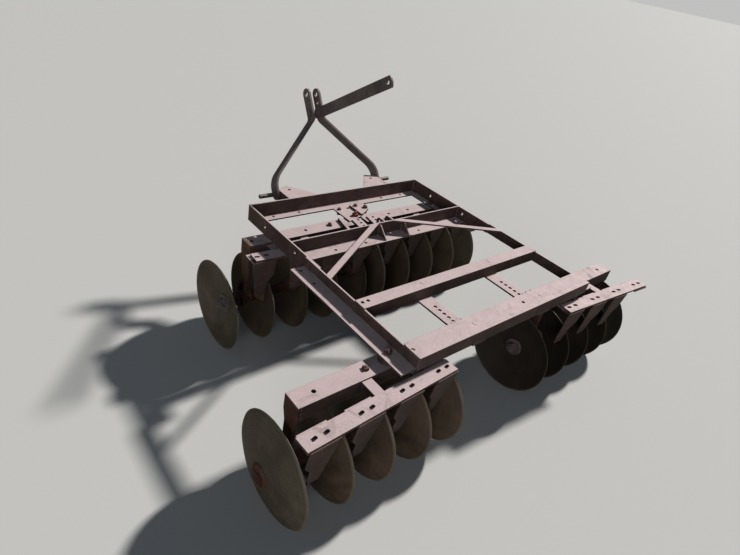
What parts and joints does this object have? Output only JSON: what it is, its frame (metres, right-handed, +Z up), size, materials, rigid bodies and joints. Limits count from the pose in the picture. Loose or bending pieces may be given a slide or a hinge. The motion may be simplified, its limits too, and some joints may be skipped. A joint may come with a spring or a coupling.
{
  "type": "lift-type tandem disc harrow",
  "caption": "Lift-type tandem disc harrow: gangs of concave discs on spools under a bolted angle-iron frame, with scrapers, a leaning hitch mast and a loose brace bar.",
  "frame": {"origin": "middle of the box that holds the machine as it stands, on the ground under the discs", "axes": "+X to the machine's right, +Y forward to the hitch, +Z up"},
  "size_m": [2.183, 1.7253, 1.2574],
  "materials": {
    "frame_steel": "sun-bleached, even brown-pink rust with dirt",
    "standard_iron": "rusty cast iron",
    "disc_steel": "rough brown rust with dried soil",
    "spool_iron": "rusty cast iron",
    "dark_steel": "dark worn steel with rust"
  },
  "bodies": {
    "frame": {"front_rail": "frame_steel", "side_rail_left": "frame_steel", "side_rail_right": "frame_steel", "mid_cross": "frame_steel", "diagonals": "frame_steel", "centre_plates": "frame_steel", "front_bar_left": "frame_steel", "front_bar_right": "frame_steel", "rear_rail_left": "frame_steel", "rear_rail_right": "frame_steel", "mid_rear_cross": "frame_steel", "rear_cross": "frame_steel", "straps": "frame_steel", "rear_bar_left": "frame_steel", "rear_bar_right": "frame_steel", "standards_fl": "standard_iron", "standards_fr": "standard_iron", "standards_rl": "standard_iron", "standards_rr": "standard_iron", "scraper_bar_fl": "frame_steel", "scraper_bar_fr": "frame_steel", "scraper_bar_rl": "frame_steel", "scraper_bar_rr": "frame_steel", "scrapers_fl": "frame_steel", "scrapers_fr": "frame_steel", "scrapers_rl": "frame_steel", "scrapers_rr": "frame_steel", "hitch_brackets": "frame_steel", "hitch_pins": "dark_steel"},
    "mast": {"mast_leg_left": "dark_steel", "mast_leg_right": "dark_steel", "mast_bolt": "dark_steel"},
    "brace": {"brace_bar": "dark_steel"},
    "gang_fl": {"discs_fl": "disc_steel", "spools_fl": "spool_iron", "axle_fl": "dark_steel"},
    "gang_fr": {"discs_fr": "disc_steel", "spools_fr": "spool_iron", "axle_fr": "dark_steel"},
    "gang_rl": {"discs_rl": "disc_steel", "spools_rl": "spool_iron", "axle_rl": "dark_steel"},
    "gang_rr": {"discs_rr": "disc_steel", "spools_rr": "spool_iron", "axle_rr": "dark_steel"}
  },
  "joints": [
    {"name": "mast_tilt", "type": "hinge", "parent": "frame", "child": "mast", "pos_m": [0, 0.55864, 0.576], "axis": [1, 0, 0], "range_deg": [-8, 31.4]},
    {"name": "brace_swing", "type": "hinge", "parent": "mast", "child": "brace", "pos_m": [0.0145, 0.77302, 0.91251], "axis": [1, 0, 0], "range_deg": [-25, 41.6]},
    {"name": "gang_fl_turn", "type": "hinge", "parent": "frame", "child": "gang_fl", "pos_m": [-0.43, 0.26164, 0.214], "axis": [1, 0, 0], "continuous": true},
    {"name": "gang_fr_turn", "type": "hinge", "parent": "frame", "child": "gang_fr", "pos_m": [0.43, 0.26164, 0.214], "axis": [1, 0, 0], "continuous": true},
    {"name": "gang_rl_turn", "type": "hinge", "parent": "frame", "child": "gang_rl", "pos_m": [-0.43, -0.64436, 0.214], "axis": [1, 0, 0], "continuous": true},
    {"name": "gang_rr_turn", "type": "hinge", "parent": "frame", "child": "gang_rr", "pos_m": [0.43, -0.64436, 0.214], "axis": [1, 0, 0], "continuous": true}
  ]
}
